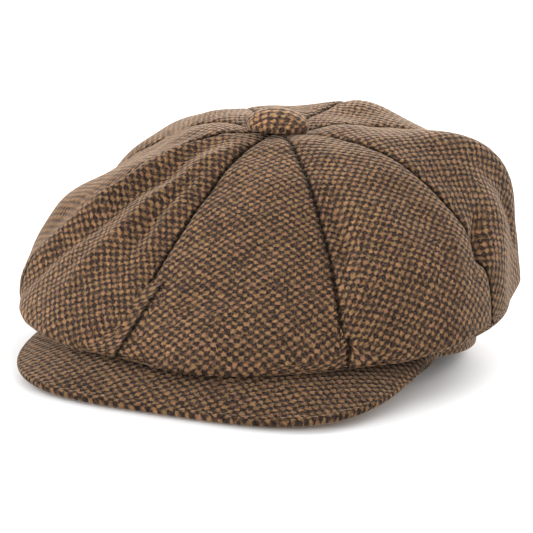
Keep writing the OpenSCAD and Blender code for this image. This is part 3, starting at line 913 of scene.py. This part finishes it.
def build_sweatband(cloth, thread):
    """Folded cloth band inside the head opening, with its two rows of stitches."""
    a = np.linspace(0, 360, 360, endpoint=False)
    outline = np.repeat(round_rect(SWEAT_OUT - SWEAT_T, SWEAT_OUT, 1, 1 + SWEAT_H, 0.6, 24)[None],
                        len(a), 0)
    # two stitched lines draw the sweatband in; between them it bows a little
    h = outline[..., 1]
    wave = np.abs(waves(a[:, None], h, 40, 0.4, 33, 2))
    pinch = sum(np.exp(-((h - row) / 1.2) ** 2) for row in SWEAT_ROWS.values())
    inner_side = outline[..., 0] < SWEAT_OUT - 0.6
    outline[..., 0] += np.where(inner_side, (0.35 * pinch - wave) * np.clip(1.3 - pinch, 0, 1), 0)
    rings = band_ring(a, outline)
    piece = loop_sweep("sweatband_cloth", rings, sweep_uv(rings, (0.0, 0.0)), closed=True)
    finish_piece(piece, cloth, "cap", "sweatband_cloth", "sweatband")
    pitch, length, thick = SWEAT_STITCH
    for place, row in SWEAT_ROWS.items():
        stitches = ring_stitches(row, SWEAT_OUT - SWEAT_T + 0.15, pitch, length)
        thread_row("sweatband_stitches_" + place, thread, stitches, thick)


def build_label(cloth, thread):
    """Small plain label with a folded edge, stitched down on its two long sides."""
    r2 = SWEAT_OUT - SWEAT_T - SEAM_GAP
    half, z1, z2, thick = LABEL_HALF_ANGLE, LABEL_LOW, LABEL_LOW + LABEL_H, 0.5
    a = np.linspace(180 - half, 180 + half, 90)
    outline = np.repeat(round_rect(r2 - thick, r2, z1, z2, 0.25, 16)[None], len(a), 0)
    bow = sind(180 * np.clip((outline[..., 1] - z1) / LABEL_H, 0, 1))
    outline[..., 0] -= np.where(outline[..., 0] < r2 - 0.2,
                                0.35 * bow * (0.6 + 0.4 * np.sin(a[:, None] * 0.9)), 0)
    rings = band_ring(a, outline)
    piece = loop_sweep("label_weave", rings, sweep_uv(rings, (0.0, 0.0)))
    finish_piece(piece, cloth, "cap", "label_cloth", "blank_label")
    pitch, length, stitch_thick = LABEL_STITCH
    stitches = [stitch for height in (z1 + 1.2, z2 - 1.2)
                for stitch in ring_stitches(height, r2 - thick, pitch, length,
                                            180.5 - half, 179.5 + half)]
    thread_row("label_stitches", thread, stitches, stitch_thick)


# ---- hidden CAD pieces keep their shape and get a finish ----

STEEL = ((0.62, 0.62, 0.63), 0.35, 1.0)
FINISHES = {"band_elastic": ((0.70, 0.67, 0.60), 0.9, 0.0),
            "visor_board": ((0.03, 0.03, 0.032), 0.6, 0.0),
            "button_shell": STEEL, "button_plate": STEEL, "button_eye": STEEL}

for node, (color, rough, metal) in FINISHES.items():
    finish = plain_material(node + "_finish", color, rough, metal)
    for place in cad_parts[node].material_slots:
        place.material = finish


# ---- build ----

# the crown's cloth has painted shade in its seam grooves
tweed_crown_painted_seam_shade = tweed_material("tweed_crown_painted_seam_shade", painted_seam_shade=True)
# the button's cloth is painted lighter: painted light on the lit dome
tweed_button_painted_light = tweed_material("tweed_button_painted_light", light=1.35)
tweed_band = tweed_material("tweed_band")
# the visor's cloth is painted darker: painted shade under the crown's overhang
tweed_visor_painted_shade = tweed_material("tweed_visor_painted_shade", light=0.82)
sweat_cloth = woven_material("sweatband_twill", (0.045, 0.036, 0.032), 0.7)
satin = satin_material("lining_satin")
label_weave = woven_material("label_weave", (0.58, 0.54, 0.46), 0.5)
thread = plain_material("thread", (0.16, 0.12, 0.09), 0.8, 0.0, 0.3)

build_crown(tweed_crown_painted_seam_shade)
build_button(tweed_button_painted_light)
build_band(tweed_band)
build_visor(tweed_visor_painted_shade)
build_sweatband(sweat_cloth, thread)
build_lining_tip(satin)
build_lining_side(1, satin)
build_lining_side(-1, satin)
build_label(label_weave, thread)


# ---- studio ----

FLOOR_HALF, SKY_STRENGTH = 60.0, 0.88


def direction(azimuth, elevation):
    """From the cap towards a place; azimuth turns from the front towards +X."""
    a, e = math.radians(azimuth), math.radians(elevation)
    return Vector((math.sin(a) * math.cos(e), -math.cos(a) * math.cos(e), math.sin(e)))


def soft_light(name, azimuth, elevation, strength, spread):
    """Broad sun-like light; `spread` is its width in degrees."""
    way = direction(azimuth, elevation)
    light = bpy.data.lights.new(name, "SUN")
    light.energy = strength
    light.angle = math.radians(spread)
    obj = bpy.data.objects.new(name, light)
    obj.location = way * 2
    obj.rotation_mode = "QUATERNION"
    obj.rotation_quaternion = (-way).to_track_quat("-Z", "Y")
    bpy.context.scene.collection.objects.link(obj)


def build_studio():
    """Plain pale floor, plain sky and four soft lights."""
    floor_mesh = bpy.data.meshes.new("floor")
    s = FLOOR_HALF
    floor_mesh.from_pydata([(-s, -s, 0), (s, -s, 0), (s, s, 0), (-s, s, 0)], [], [(0, 1, 2, 3)])
    floor = bpy.data.objects.new("floor", floor_mesh)
    bpy.context.scene.collection.objects.link(floor)
    m = Nodes("pale_floor")
    m.set(color=(0.9, 0.9, 0.9, 1), rough=0.9, specular=0.1)
    floor_mesh.materials.append(m.material)
    # the floor lights nothing, so the cap's underside stays as dark as in the photo
    floor.visible_diffuse = False
    world = bpy.data.worlds.new("studio")
    bpy.context.scene.world = world
    world.use_nodes = True
    sky = world.node_tree.nodes["Background"]
    sky.inputs["Color"].default_value = (1, 1, 1, 1)
    sky.inputs["Strength"].default_value = SKY_STRENGTH

    soft_light("key_front", -14, 13, 1.25, 45)
    soft_light("side_left", -100, 20, 2.1, 40)
    soft_light("back_left", -150, 21, 1.8, 40)
    soft_light("back", 168, 21, 4.8, 40)


CAMERA_AZ, CAMERA_EL, CAMERA_ROLL = 20.0, 11.2, 2.6
CAMERA_DISTANCE = 0.85
AIM = (-0.0085, 0.0, 0.0358)


def build_camera():
    """Camera at the photo's angle, a little rolled."""
    data = bpy.data.cameras.new("camera")
    data.lens = 120
    data.sensor_width = 36
    cam = bpy.data.objects.new("camera", data)
    bpy.context.scene.collection.objects.link(cam)
    back = direction(CAMERA_AZ, CAMERA_EL)
    aim = Vector(AIM) + Vector((0, SHIFT_Y, 0))
    cam.location = aim + back * CAMERA_DISTANCE
    cam.rotation_mode = "QUATERNION"
    turn = (-back).to_track_quat("-Z", "Y")
    roll = Matrix.Rotation(math.radians(CAMERA_ROLL), 4, "Z").to_quaternion()
    cam.rotation_quaternion = turn @ roll
    bpy.context.scene.camera = cam


build_studio()
build_camera()
bpy.context.scene.view_settings.view_transform = "Standard"
